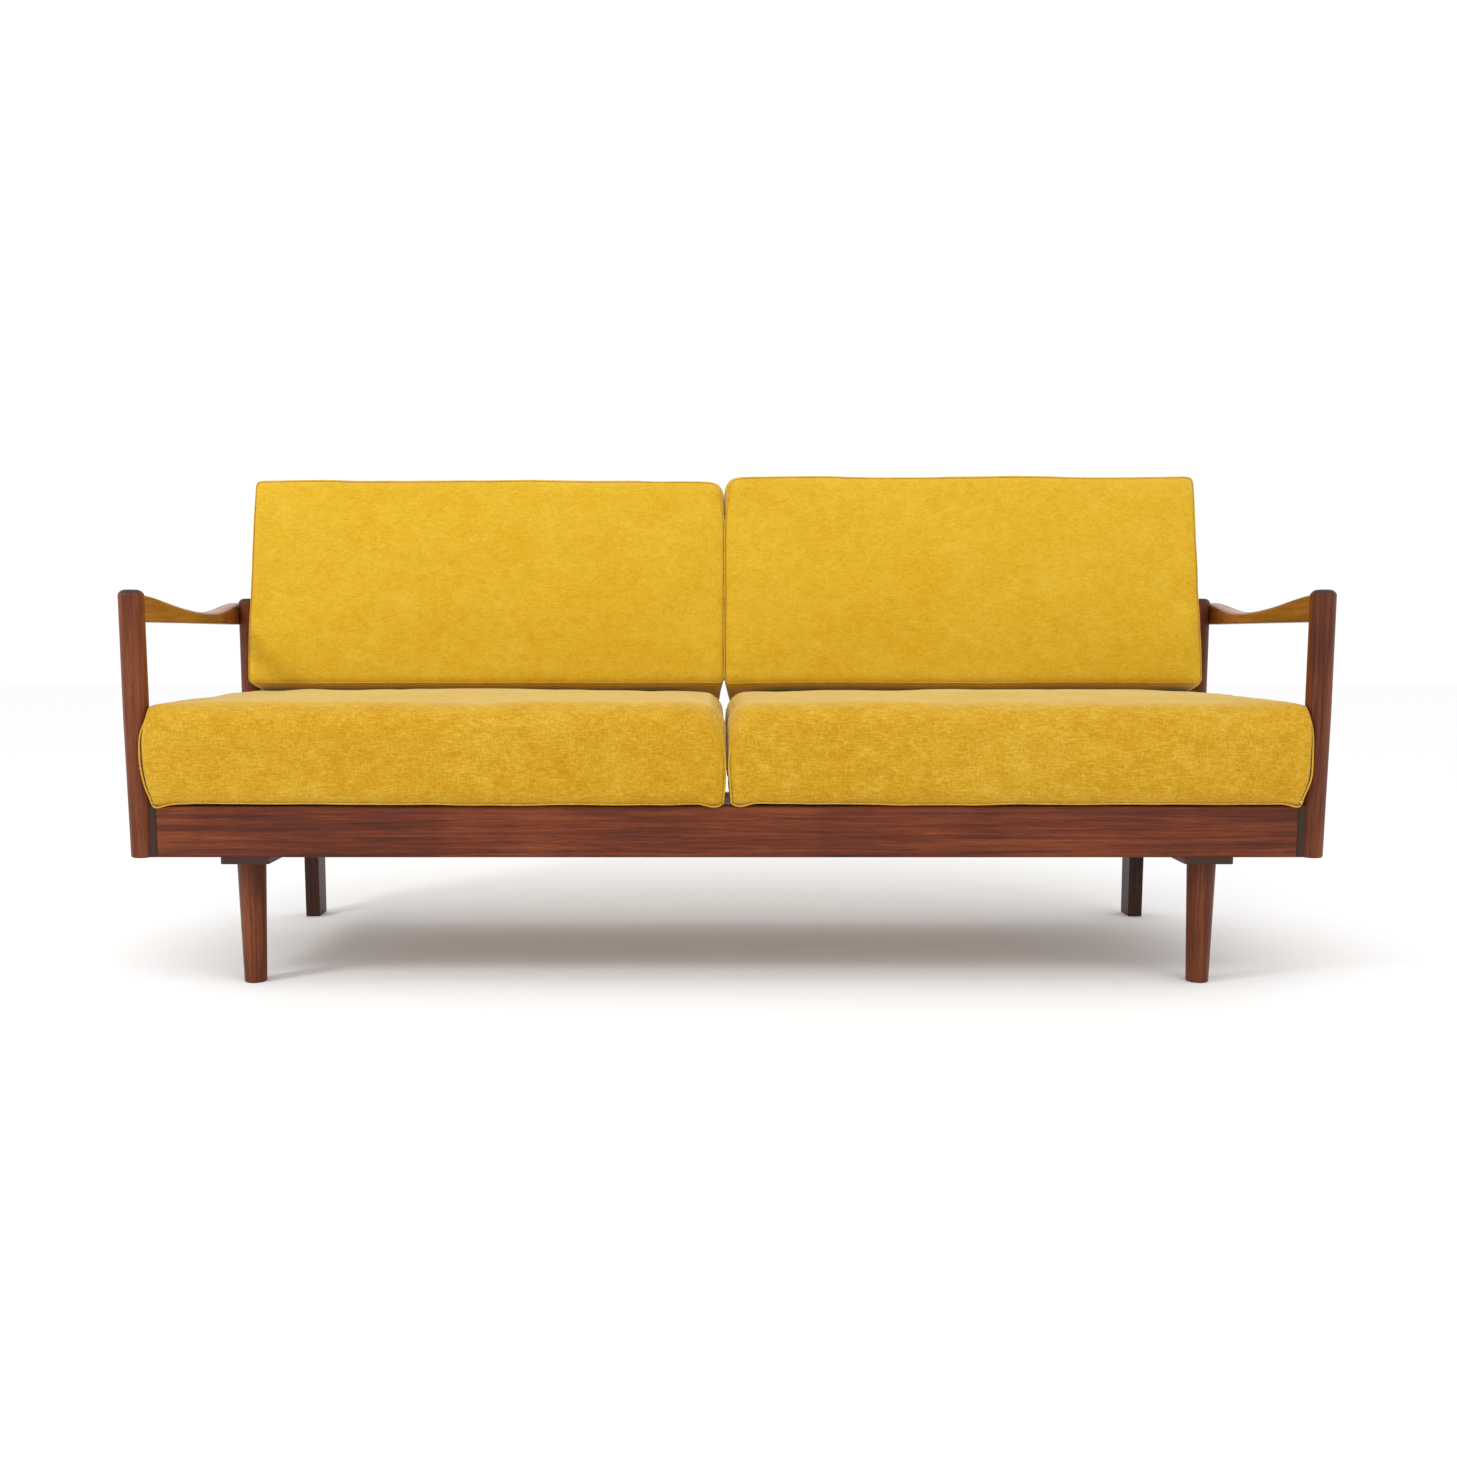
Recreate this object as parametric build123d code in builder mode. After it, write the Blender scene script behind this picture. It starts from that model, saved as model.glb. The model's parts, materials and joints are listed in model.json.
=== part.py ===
from build123d import *
import os
from math import cos, radians, sin, tan

os.makedirs("parts", exist_ok=True)

# Daybed sofa with round posts, saddle-shaped armrests and a seat that pulls out.
# Frame: origin on the floor under the middle of the sofa, +Z up, front towards -Y.

# Driving dimensions, in millimetres
WIDTH = 1900.0  # over the posts
POST_R = 19.5
POST_FOOT_R = 17.0
POST_SPACING = 570.0  # front post axis to back post axis
POST_FOOT = 214.0
POST_TAPER = 440.0  # height where the taper of a post ends
POST_TOP = 635.5
CAP_RISE = 8.0  # height of a post's domed end
CAP_FLAT = 0.35  # share of the radius where the dome is flat
POST_BEVEL = 2.0
CUSHION_FRONT = 22.0  # seat cushions stand this far in front of the post axes
DEPTH = 739.0  # seat cushion front to the top of the backrest
FRONT = CUSHION_FRONT - DEPTH / 2  # y of the front post axes
BACK = FRONT + POST_SPACING  # y of the back post axes
POST_X = WIDTH / 2 - POST_R

RAIL_BOTTOM = 214.5
RAIL_TOP = 297.0
RAIL_HEIGHT = RAIL_TOP - RAIL_BOTTOM
RAIL_THICK = 24.0
SIDE_RAIL_IN = 903.0  # inner face of a side rail
SIDE_RAIL_THICK = 20.0
SIDE_RAIL_ENDS = (FRONT - 8.0, BACK + 20.0)
FRONT_RAIL_HALF = 901.5

RUNNER_X = (727.0, 804.0)
RUNNER_Z = (203.5, 223.5)
RUNNER_Y = (FRONT - 10.0, FRONT + 480.0)
RUNNER_MID = sum(RUNNER_X) / 2
PULL_OUT = 300.0  # travel of the seat
BAR_DEPTH = 40.0
FIXED_BAR_Y = FRONT + 95.0  # front face of the fixed cross bar
MOVING_BAR_Y = FIXED_BAR_Y + BAR_DEPTH + PULL_OUT + 1.0
FIXED_BAR_Z = (224.0, 254.0)
MOVING_BAR_Z = (223.5, 252.5)
MOVING_BAR_HALF = 820.0
LEDGER_Z = (224.0, 254.5)
LEDGER_HALF = 880.0
REAR_RAIL_Y = FRONT + 562.0
REAR_RAIL_Z = (FIXED_BAR_Z[1] - RAIL_HEIGHT, FIXED_BAR_Z[1])

SLAT_WIDTH = 22.0
SLAT_PITCH = 110.0
SLATS_EACH_SIDE = 8
FIXED_SLAT_Y = (FRONT + 60.0, REAR_RAIL_Y + RAIL_THICK)
MOVING_SLAT_Y = (FRONT + RAIL_THICK / 2, FRONT + 500.0)

FRONT_LEG_X = 773.5
FRONT_LEG_Y = FRONT + 51.0
FRONT_LEG_R = (23.0, 17.8)  # top, bottom
REAR_LEG_X = 829.0
REAR_LEG_THICK = 28.0
REAR_LEG_Y = REAR_RAIL_Y + RAIL_THICK  # front face
REAR_LEG_DEPTH = (48.0, 54.0, 32.0)  # at the floor, at the bend, at the top

LEAN = 14.0  # backrest, from vertical
BACK_PIVOT_Y = FRONT + 580.0  # bottom rear edge of the back cushions
BACK_PIVOT_Z = 463.0
BACKREST_RAIL_THICK = 18.0
BACKREST_RAIL_HEIGHTS = ((478.0, 60.0), (600.0, 60.0), (722.0, 68.0))  # start, height along the lean
BACKREST_TOP = 800.0
BACKREST_HALF = 872.0

SEAT_X = (3.0, 904.0)
SEAT_DEPTH = 600.0
SEAT_Z = (297.4, 459.0)
BACK_X = (2.0, 893.0)
BACK_THICK = 126.0
BACK_TOE_DROP = 20.0  # the lower front edge sags this far below square
BACK_HEIGHT = 403.0  # along the lean

SCREW_R = 2.25
SCREW_HEAD_R = 4.0
SCREW_HEAD = 3.0
BOLT_R = 4.0
DOWEL_R = 5.0
FIT = 0.05  # radial clearance of fasteners


def save(piece, name):
    piece.part.label = name
    export_step(piece.part, f"parts/{name}.step")


def side_name(base, side):
    return f"{base}_{'left' if side < 0 else 'right'}"


def span(side, low, high):
    """The x range of a piece that is `low` to `high` from the middle on one side."""
    return (low, high) if side > 0 else (-high, -low)


def board(xs, ys, zs):
    """A rectangular block between two values on each axis."""
    with BuildPart() as timber:
        with BuildSketch(Plane.XY.offset(zs[0])):
            with Locations(((xs[0] + xs[1]) / 2, (ys[0] + ys[1]) / 2)):
                Rectangle(xs[1] - xs[0], ys[1] - ys[0])
        extrude(amount=zs[1] - zs[0])
    return timber


def drill(plane, points, radius, depth):
    """Cut round holes into the part being built, from the plane against its normal."""
    with BuildSketch(plane) as holes:
        with Locations(*points):
            Circle(radius)
    extrude(holes.sketch, amount=-depth, mode=Mode.SUBTRACT)


def drill_for_screws(plane, points, length):
    drill(plane, points, SCREW_HEAD_R + FIT, SCREW_HEAD)
    drill(plane, points, SCREW_R + FIT, length)


def screws(plane, points, length):
    """A group of wood screws whose flat heads are flush with the plane."""
    with BuildPart() as group:
        with BuildSketch(plane):
            with Locations(*points):
                Circle(SCREW_HEAD_R)
        extrude(amount=-SCREW_HEAD)
        with BuildSketch(plane.offset(-SCREW_HEAD)):
            with Locations(*points):
                Circle(SCREW_R)
        extrude(amount=SCREW_HEAD - length)
    return group


def facing_x(x, side):
    """A plane across X that faces outwards on one side; its axes are (outward y, z)."""
    return Plane(origin=(x, 0, 0), x_dir=(0, side, 0), z_dir=(side, 0, 0))


# Fastener places
SIDE_SCREW_LENGTH = 36.0
SIDE_SCREW_Z = (258.0, 284.0)
ARM_SCREW_LENGTH = 52.0
ARM_JOINT_Z = 606.0
DOWEL_FRONT = FRONT - 2.0
DOWEL_LENGTH = 48.0
FRAME_SCREW_LENGTH = 60.0
SLAT_SCREW_LENGTH = 57.0
RUNNER_SCREW_LENGTH = 42.0
LEDGER_SCREW_LENGTH = 40.0
BACKREST_SCREW_LENGTH = 42.0
GUIDE_SCREW_LENGTH = 22.0
BOLT_Z = (192.0, 232.0)
BOLT_HEAD = (7.0, 4.5)  # radius, height
BOLT_LENGTH = 84.0  # under the head
NUT = (6.5, 6.5)  # half the width across flats, height
GUIDE_PLATE = 3.0
GUIDE_DEPTH = 34.0
GUIDE_FLANGE = 22.0
HANGER_LENGTH = (40.0, 17.0)  # into the leg, into the insert
INSERT_R = 7.0


def dowel_plane():
    """The plane of the rear ends of the armrest dowels, facing backwards."""
    return Plane(origin=(0, DOWEL_FRONT + DOWEL_LENGTH, 0), x_dir=(-1, 0, 0), z_dir=(0, 1, 0))


def side_screw_points(side):
    return [(-side * y, z) for y in (FRONT, BACK) for z in SIDE_SCREW_Z]


def side_screw_plane(side):
    """The inner face of a side rail, where the screws into the posts have their heads."""
    return Plane(origin=(side * SIDE_RAIL_IN, 0, 0), x_dir=(0, -side, 0), z_dir=(-side, 0, 0))


def frame_screw_points(side):
    bar = (side * (FIXED_BAR_Y + BAR_DEPTH / 2), sum(FIXED_BAR_Z) / 2)
    rail = (side * (REAR_RAIL_Y + RAIL_THICK / 2), sum(FIXED_BAR_Z) / 2)
    return [bar, rail]


def frame_screw_plane(side):
    return facing_x(side * (SIDE_RAIL_IN + SIDE_RAIL_THICK), side)


def post(side, y, is_front):
    """A round post: straight above the seat, tapered below it, with a domed end."""
    with BuildPart() as turned:
        with BuildSketch(Plane.XZ):
            with BuildLine():
                Polyline(
                    (POST_R * CAP_FLAT, POST_TOP), (0, POST_TOP), (0, POST_FOOT),
                    (POST_FOOT_R - POST_BEVEL, POST_FOOT), (POST_FOOT_R, POST_FOOT + POST_BEVEL),
                    (POST_R, POST_TAPER), (POST_R, POST_TOP - CAP_RISE),
                )
                ThreePointArc(
                    (POST_R, POST_TOP - CAP_RISE),
                    (POST_R * 0.8, POST_TOP - CAP_RISE * 0.3),
                    (POST_R * CAP_FLAT, POST_TOP),
                )
            make_face()
        revolve(axis=Axis.Z)
    with BuildPart() as placed:
        with Locations((side * POST_X, y)):
            add(turned.part)
        # housing for the side rail
        with BuildSketch(Plane.XY.offset(RAIL_BOTTOM)):
            with Locations((side * (SIDE_RAIL_IN + SIDE_RAIL_THICK / 2), sum(SIDE_RAIL_ENDS) / 2)):
                Rectangle(SIDE_RAIL_THICK, SIDE_RAIL_ENDS[1] - SIDE_RAIL_ENDS[0])
        extrude(amount=RAIL_HEIGHT, mode=Mode.SUBTRACT)
        drill_for_screws(side_screw_plane(side), side_screw_points(side), SIDE_SCREW_LENGTH)
        if is_front:
            drill(dowel_plane(), [(-side * POST_X, ARM_JOINT_Z)], DOWEL_R + FIT, DOWEL_LENGTH)
        else:
            drill_for_screws(arm_screw_plane(side), [(-side * BACK, ARM_JOINT_Z)], ARM_SCREW_LENGTH)
    return placed


def arm_screw_plane(side):
    """Just inside the inner edge of a back post, facing the middle of the sofa."""
    return Plane(origin=(side * (POST_X - POST_R + 4.0), 0, 0), x_dir=(0, -side, 0), z_dir=(-side, 0, 0))


# Armrest stations: distance behind the front post, inner face, crest height, top edge radius
ARM_BOTTOM = 585.0
ARM_WIDTH = 33.0
ARM_STATIONS = (
    (0.0, 914.5, 628.0, 3.5),
    (110.0, 915.5, 618.5, 4.0),
    (230.0, 920.5, 608.0, 5.0),
    (340.0, 928.5, 605.0, 6.0),
    (440.0, 938.0, 610.0, 8.0),
    (520.0, 945.0, 619.5, 9.0),
    (596.0, 948.0, 628.0, 9.0),
)


def armrest(side):
    """A saddle-shaped arm that swings outwards to lap the outside of the back post."""
    with BuildPart() as arm:
        for back, inner, crest, radius in ARM_STATIONS:
            section = Plane(origin=(0, FRONT + back, 0), x_dir=(side, 0, 0), z_dir=(0, -side, 0))
            with BuildSketch(section) as outline:
                with Locations((inner + ARM_WIDTH / 2, (crest + ARM_BOTTOM) / 2)):
                    Rectangle(ARM_WIDTH, crest - ARM_BOTTOM)
                fillet(outline.vertices().group_by(Axis.Y)[-1], radius)
                fillet(outline.vertices().group_by(Axis.Y)[0], 3)
        loft()
        fillet(arm.faces().sort_by(Axis.Y)[-1].edges(), 2.8)
        for y in (FRONT, BACK):
            with BuildSketch(Plane.XY.offset(ARM_BOTTOM - 5)):
                with Locations((side * POST_X, y)):
                    Circle(POST_R + FIT)
            extrude(amount=POST_TOP - ARM_BOTTOM, mode=Mode.SUBTRACT)
        # what is left of the loft in front of the post
        with BuildSketch(Plane.XY.offset(ARM_BOTTOM - 5)):
            with Locations((side * POST_X, FRONT - POST_R)):
                Rectangle(4 * POST_R, 2 * POST_R)
        extrude(amount=POST_TOP - ARM_BOTTOM, mode=Mode.SUBTRACT)
        drill(dowel_plane(), [(-side * POST_X, ARM_JOINT_Z)], DOWEL_R + FIT, DOWEL_LENGTH)
        drill_for_screws(arm_screw_plane(side), [(-side * BACK, ARM_JOINT_Z)], ARM_SCREW_LENGTH)
    return arm


def side_rail(side):
    xs = span(side, SIDE_RAIL_IN, SIDE_RAIL_IN + SIDE_RAIL_THICK)
    timber = board(xs, SIDE_RAIL_ENDS, (RAIL_BOTTOM, RAIL_TOP))
    with BuildPart() as rail:
        add(timber.part)
        ends = rail.faces().group_by(Axis.Y)
        fillet(ends[0].edges().filter_by(Axis.Z).group_by(Axis.X)[0 if side > 0 else -1], 2)
        drill_for_screws(side_screw_plane(side), side_screw_points(side), SIDE_SCREW_LENGTH)
        drill_for_screws(frame_screw_plane(side), frame_screw_points(side), FRAME_SCREW_LENGTH)
    return rail


def slat_places(moving):
    """Distances from the middle of one kind of slat; the two kinds alternate."""
    first = 0 if moving else 1
    half = [SLAT_PITCH * (k + 0.5) for k in range(first, SLATS_EACH_SIDE, 2)]
    return [-x for x in reversed(half)] + half


def slat_screw_points(moving):
    if moving:
        ys = (FRONT + RAIL_THICK, MOVING_BAR_Y + BAR_DEPTH / 2)
    else:
        ys = (FIXED_BAR_Y + BAR_DEPTH / 2, REAR_RAIL_Y + RAIL_THICK / 2)
    return [(x, y) for x in slat_places(moving) for y in ys]


def drill_slat_screws(moving):
    drill_for_screws(Plane.XY.offset(RAIL_TOP), slat_screw_points(moving), SLAT_SCREW_LENGTH)


def fixed_cross_bar():
    half = SIDE_RAIL_IN
    timber = board((-half, half), (FIXED_BAR_Y, FIXED_BAR_Y + BAR_DEPTH), FIXED_BAR_Z)
    with BuildPart() as bar:
        add(timber.part)
        drill_slat_screws(False)
        for side in (-1, 1):
            drill_for_screws(frame_screw_plane(side), frame_screw_points(side), FRAME_SCREW_LENGTH)
        drill_for_screws(guide_screw_plane(), guide_screw_points(), GUIDE_SCREW_LENGTH)
    return bar


def rear_rail():
    half = SIDE_RAIL_IN
    timber = board((-half, half), (REAR_RAIL_Y, REAR_RAIL_Y + RAIL_THICK), REAR_RAIL_Z)
    with BuildPart() as rail:
        add(timber.part)
        drill_slat_screws(False)
        for side in (-1, 1):
            drill_for_screws(frame_screw_plane(side), frame_screw_points(side), FRAME_SCREW_LENGTH)
        drill(leg_bolt_plane(), leg_bolt_points(), BOLT_R + FIT, BOLT_LENGTH)
    return rail


def leg_bolt_plane():
    """The front face of the rear rail, facing forwards."""
    return Plane.XZ.offset(-REAR_RAIL_Y)


def leg_bolt_points():
    return [(side * REAR_LEG_X, z) for side in (-1, 1) for z in BOLT_Z]


def lean_y(z, offset=0.0):
    """The backrest's front face at height z, moved back by an offset at right angles to it."""
    return BACK_PIVOT_Y + 2.0 + (z - BACK_PIVOT_Z) * tan(radians(LEAN)) + offset / cos(radians(LEAN))


def rear_leg(side):
    """A board-like rear leg that carries on upwards and leans back behind the cushions."""
    foot, waist, top = REAR_LEG_DEPTH
    bend = BACK_PIVOT_Z + (REAR_LEG_Y - lean_y(BACK_PIVOT_Z, BACKREST_RAIL_THICK)) / tan(radians(LEAN))
    top_y = lean_y(BACKREST_TOP, BACKREST_RAIL_THICK)
    outline = [
        (REAR_LEG_Y + 2, 0), (REAR_LEG_Y, RAIL_BOTTOM), (REAR_LEG_Y, bend), (top_y, BACKREST_TOP),
        (top_y + top, BACKREST_TOP), (REAR_LEG_Y + waist, bend), (REAR_LEG_Y + waist, RAIL_BOTTOM),
        (REAR_LEG_Y + 2 + foot, 0),
    ]
    with BuildPart() as leg:
        with BuildSketch(Plane.YZ.offset(side * REAR_LEG_X - REAR_LEG_THICK / 2)):
            with BuildLine():
                Polyline(*outline, close=True)
            make_face()
        extrude(amount=REAR_LEG_THICK)
        fillet(leg.edges().group_by(Axis.Z)[0], 3)
        drill(leg_bolt_plane(), leg_bolt_points(), BOLT_R + FIT, BOLT_LENGTH)
        drill_for_screws(backrest_plane(), backrest_screw_points(), BACKREST_SCREW_LENGTH)
    return leg


def backrest_plane():
    """The front face of the backrest rails; its axes are (x, up the lean)."""
    lean = radians(LEAN)
    origin = (0, BACK_PIVOT_Y + 2.0, BACK_PIVOT_Z)
    return Plane(origin=origin, x_dir=(1, 0, 0), z_dir=(0, -cos(lean), sin(lean)))


def along_lean(z):
    return (z - BACK_PIVOT_Z) / cos(radians(LEAN))


def backrest_screw_points():
    places = [
        along_lean(start) + height * share
        for start, height in BACKREST_RAIL_HEIGHTS
        for share in (0.25, 0.75)
    ]
    return [(side * REAR_LEG_X, place) for side in (-1, 1) for place in places]


def backrest_rail(start, height):
    with BuildPart() as rail:
        with BuildSketch(backrest_plane()):
            with Locations((0, along_lean(start) + height / 2)):
                Rectangle(2 * BACKREST_HALF, height)
        extrude(amount=-BACKREST_RAIL_THICK)
        fillet(rail.edges().filter_by(Axis.X), 3)
        drill_for_screws(backrest_plane(), backrest_screw_points(), BACKREST_SCREW_LENGTH)
    return rail


def guide_screw_plane():
    """The underside of the guide flanges, facing down."""
    return Plane(origin=(0, 0, FIXED_BAR_Z[0] - GUIDE_PLATE), x_dir=(1, 0, 0), z_dir=(0, 0, -1))


def guide_screw_points():
    """Both flanges of both guides; the plane's second axis is -y."""
    reach = (RUNNER_X[1] - RUNNER_X[0]) / 2 + GUIDE_PLATE + GUIDE_FLANGE / 2
    y = FIXED_BAR_Y + BAR_DEPTH / 2
    return [(side * RUNNER_MID + step, -y) for side in (-1, 1) for step in (-reach, reach)]


def runner_guide(side):
    """A steel strap that carries a runner under the fixed cross bar."""
    inner = (RUNNER_X[1] - RUNNER_X[0]) / 2 + 0.6
    outer = inner + GUIDE_PLATE
    top = FIXED_BAR_Z[0]
    floor = RUNNER_Z[0] - 0.6
    with BuildPart() as guide:
        with BuildSketch(Plane.XZ.offset(-(FIXED_BAR_Y + (BAR_DEPTH + GUIDE_DEPTH) / 2))):
            with BuildLine():
                x = side * RUNNER_MID
                Polyline(
                    (x - outer - GUIDE_FLANGE, top), (x - inner, top), (x - inner, floor), (x + inner, floor),
                    (x + inner, top), (x + outer + GUIDE_FLANGE, top),
                    (x + outer + GUIDE_FLANGE, top - GUIDE_PLATE), (x + outer, top - GUIDE_PLATE),
                    (x + outer, floor - GUIDE_PLATE), (x - outer, floor - GUIDE_PLATE),
                    (x - outer, top - GUIDE_PLATE), (x - outer - GUIDE_FLANGE, top - GUIDE_PLATE), close=True,
                )
            make_face()
        extrude(amount=GUIDE_DEPTH)
        drill(guide_screw_plane(), guide_screw_points(), SCREW_R + FIT, GUIDE_SCREW_LENGTH)
    return guide


def guide_screws():
    """Round-headed screws under the guide flanges."""
    with BuildPart() as group:
        with BuildSketch(guide_screw_plane()):
            with Locations(*guide_screw_points()):
                Circle(SCREW_HEAD_R)
        extrude(amount=SCREW_HEAD)
        with BuildSketch(guide_screw_plane()):
            with Locations(*guide_screw_points()):
                Circle(SCREW_R)
        extrude(amount=-GUIDE_SCREW_LENGTH)
    return group


def slat(x, ys, bottom, moving):
    """One front-to-back seat slat; a moving one has a foot on the moving cross bar."""
    with BuildPart() as timber:
        with BuildSketch(Plane.XY.offset(bottom)):
            with Locations((x, (ys[0] + ys[1]) / 2)):
                Rectangle(SLAT_WIDTH, ys[1] - ys[0])
        extrude(amount=RAIL_TOP - bottom)
        if moving:
            with BuildSketch(Plane.XY.offset(MOVING_BAR_Z[1])):
                with Locations((x, MOVING_BAR_Y + BAR_DEPTH / 2)):
                    Rectangle(SLAT_WIDTH, BAR_DEPTH)
            extrude(amount=bottom - MOVING_BAR_Z[1])
        drill_slat_screws(moving)
    return timber


def front_rail():
    ys = (FRONT - RAIL_THICK / 2, FRONT + RAIL_THICK / 2)
    timber = board((-FRONT_RAIL_HALF, FRONT_RAIL_HALF), ys, (RAIL_BOTTOM, RAIL_TOP))
    with BuildPart() as rail:
        add(timber.part)
        fillet(rail.edges().filter_by(Axis.X).group_by(Axis.Y)[0], 4)
        # housings for the runners
        with BuildSketch(Plane.XY.offset(RAIL_BOTTOM)):
            with Locations((-RUNNER_MID, FRONT + 1), (RUNNER_MID, FRONT + 1)):
                Rectangle(RUNNER_X[1] - RUNNER_X[0], RAIL_THICK - 2)
        extrude(amount=RUNNER_Z[1] - RAIL_BOTTOM, mode=Mode.SUBTRACT)
        drill_for_screws(runner_screw_plane(), runner_screw_points(), RUNNER_SCREW_LENGTH)
        drill_for_screws(ledger_screw_plane(), ledger_screw_points(), LEDGER_SCREW_LENGTH)
    return rail


def runner_screw_plane():
    """The underside of the runners, facing down; its second axis is -y."""
    return Plane(origin=(0, 0, RUNNER_Z[0]), x_dir=(1, 0, 0), z_dir=(0, 0, -1))


def runner_screw_points():
    ys = (FRONT + 2.0, MOVING_BAR_Y + BAR_DEPTH / 2)
    return [(side * RUNNER_MID + step, -y) for side in (-1, 1) for step in (-24, 24) for y in ys]


def ledger_screw_plane():
    """The back of the ledger, facing backwards."""
    return Plane(origin=(0, FRONT + RAIL_THICK / 2 + RAIL_THICK, 0), x_dir=(-1, 0, 0), z_dir=(0, 1, 0))


def ledger_screw_points():
    return [(x, sum(LEDGER_Z) / 2) for x in (-660, -330, 0, 330, 660)]


def ledger():
    ys = (FRONT + RAIL_THICK / 2, FRONT + RAIL_THICK * 1.5)
    timber = board((-LEDGER_HALF, LEDGER_HALF), ys, LEDGER_Z)
    with BuildPart() as strip:
        add(timber.part)
        drill_slat_screws(True)
        drill_for_screws(ledger_screw_plane(), ledger_screw_points(), LEDGER_SCREW_LENGTH)
    return strip


def moving_cross_bar():
    ys = (MOVING_BAR_Y, MOVING_BAR_Y + BAR_DEPTH)
    timber = board((-MOVING_BAR_HALF, MOVING_BAR_HALF), ys, MOVING_BAR_Z)
    with BuildPart() as bar:
        add(timber.part)
        drill_slat_screws(True)
        drill_for_screws(runner_screw_plane(), runner_screw_points(), RUNNER_SCREW_LENGTH)
    return bar


def runner(side):
    timber = board(span(side, *RUNNER_X), RUNNER_Y, RUNNER_Z)
    with BuildPart() as runner_bar:
        add(timber.part)
        front = runner_bar.faces().sort_by(Axis.Y)[0]
        chamfer(front.edges().filter_by(Axis.Z), 3)
        drill_for_screws(runner_screw_plane(), runner_screw_points(), RUNNER_SCREW_LENGTH)
        drill(runner_screw_plane(), [(side * FRONT_LEG_X, -FRONT_LEG_Y)], INSERT_R + FIT, HANGER_LENGTH[1])
    return runner_bar


def front_leg(side):
    """A round leg that tapers to the floor."""
    top, foot = FRONT_LEG_R
    with BuildPart() as leg:
        with BuildSketch(Plane.XY):
            with Locations((side * FRONT_LEG_X, FRONT_LEG_Y)):
                Circle(foot)
        with BuildSketch(Plane.XY.offset(RUNNER_Z[0])):
            with Locations((side * FRONT_LEG_X, FRONT_LEG_Y)):
                Circle(top)
        loft()
        fillet(leg.edges().group_by(Axis.Z)[0], 2.5)
        under = Plane.XY.offset(RUNNER_Z[0])
        drill(under, [(side * FRONT_LEG_X, FRONT_LEG_Y)], BOLT_R + FIT, HANGER_LENGTH[0])
    return leg


def seat_cushion(side):
    """The right size and place of a seat cushion, with soft edges."""
    xs = span(side, *SEAT_X)
    front = FRONT - CUSHION_FRONT
    block = board(xs, (front, front + SEAT_DEPTH), SEAT_Z)
    with BuildPart() as cushion:
        add(block.part)
        fillet(cushion.edges().filter_by(Axis.Z), 24)
        fillet(cushion.edges().group_by(Axis.Z)[-1], 16)
        fillet(cushion.edges().group_by(Axis.Z)[0], 8)
    return cushion


def back_cushion(side):
    """The right size and place of a back cushion leaning on the backrest."""
    lean = radians(LEAN)
    up = (sin(lean), cos(lean))
    foot = (BACK_PIVOT_Y, BACK_PIVOT_Z)
    through = (cos(lean), -sin(lean))
    toe = tuple(f - BACK_THICK * t - BACK_TOE_DROP * u for f, t, u in zip(foot, through, up))
    brow = tuple(f + BACK_HEIGHT * u for f, u in zip(toe, up))
    crown = tuple(f + BACK_THICK * t for f, t in zip(brow, through))
    xs = span(side, *BACK_X)
    with BuildPart() as cushion:
        with BuildSketch(Plane.YZ.offset(xs[0])):
            with BuildLine():
                Polyline(foot, toe, brow, crown, close=True)
            make_face()
        extrude(amount=xs[1] - xs[0])
        fillet(cushion.edges(), 18)
    return cushion


def hex_nuts():
    with BuildPart() as nuts:
        with BuildSketch(Plane.XZ.offset(-(REAR_LEG_Y + REAR_LEG_DEPTH[1]))):
            with Locations(*leg_bolt_points()):
                RegularPolygon(NUT[0], 6, major_radius=False)
                Circle(BOLT_R + FIT, mode=Mode.SUBTRACT)
        extrude(amount=-NUT[1])
    return nuts


def carriage_bolts():
    """Domed heads in front of the rear rail, shanks through rail and leg."""
    with BuildPart() as bolts:
        with BuildSketch(leg_bolt_plane()):
            with Locations(*leg_bolt_points()):
                Circle(BOLT_HEAD[0])
        extrude(amount=BOLT_HEAD[1], taper=20)
        with BuildSketch(leg_bolt_plane()):
            with Locations(*leg_bolt_points()):
                Circle(BOLT_R)
        extrude(amount=-BOLT_LENGTH - NUT[1])
    return bolts


def rods(plane, points, radius, low, high):
    """Round rods along the plane's normal, from `low` to `high` above it."""
    with BuildPart() as group:
        with BuildSketch(plane.offset(low)):
            with Locations(*points):
                Circle(radius)
        extrude(amount=high - low)
    return group


def inserts():
    """Threaded sleeves in the undersides of the runners."""
    points = [(side * FRONT_LEG_X, -FRONT_LEG_Y) for side in (-1, 1)]
    with BuildPart() as sleeves:
        with BuildSketch(runner_screw_plane()):
            with Locations(*points):
                Circle(INSERT_R)
                Circle(BOLT_R + FIT, mode=Mode.SUBTRACT)
        extrude(amount=-HANGER_LENGTH[1])
    return sleeves


for side in (-1, 1):
    save(post(side, FRONT, True), side_name("front_post", side))
    save(post(side, BACK, False), side_name("back_post", side))
    save(armrest(side), side_name("armrest", side))
    save(side_rail(side), side_name("side_rail", side))
    save(rear_leg(side), side_name("rear_leg", side))
    save(runner_guide(side), side_name("runner_guide", side))
    save(runner(side), side_name("runner", side))
    save(front_leg(side), side_name("front_leg", side))
    save(seat_cushion(side), side_name("seat_cushion", side))
    save(back_cushion(side), side_name("back_cushion", side))

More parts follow.
